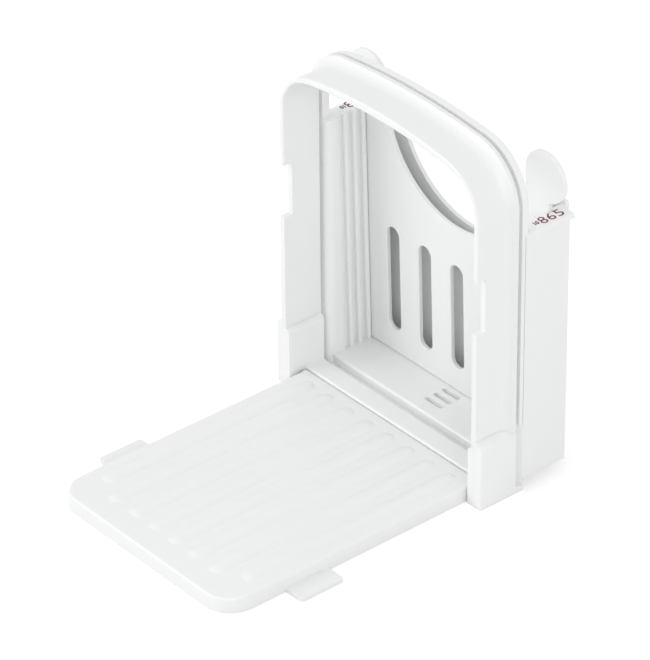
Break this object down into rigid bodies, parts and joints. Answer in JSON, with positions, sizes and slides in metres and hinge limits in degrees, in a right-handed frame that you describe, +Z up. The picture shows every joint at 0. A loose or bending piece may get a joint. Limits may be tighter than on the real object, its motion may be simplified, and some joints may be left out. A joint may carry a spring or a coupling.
{
  "type": "bread slicing guide",
  "caption": "Folding bread slicing guide: arched frames with a knife gap, grooved columns, lift-out slotted stop plate and a hinged ribbed loaf rest.",
  "frame": {"origin": "on the ground below the knife gap, in the plane of symmetry and the plane of the knife", "axes": "+X across the guide, +Y from the knife towards the stop plate, +Z up; the loaf rest opens towards -Y"},
  "size_m": [0.153, 0.2083, 0.1888],
  "materials": {
    "white_plastic": "satin moulded",
    "steel": "plain"
  },
  "bodies": {
    "frame": {"base": "white_plastic", "front_frame": "white_plastic", "rear_frame": "white_plastic", "base_screws": "steel"},
    "plate": {"stop_plate": "white_plastic"},
    "rest": {"loaf_rest": "white_plastic", "left_hinge_pin": "steel", "right_hinge_pin": "steel"}
  },
  "joints": [
    {"name": "rest_fold", "type": "hinge", "parent": "frame", "child": "rest", "pos_m": [0, -0.0157, 0.005], "axis": [-1, 0, 0], "range_deg": [0, 90]},
    {"name": "plate_lift", "type": "slide", "parent": "frame", "child": "plate", "axis": [0, -0.0262, 0.9997], "range_m": [0, 0.19]}
  ]
}
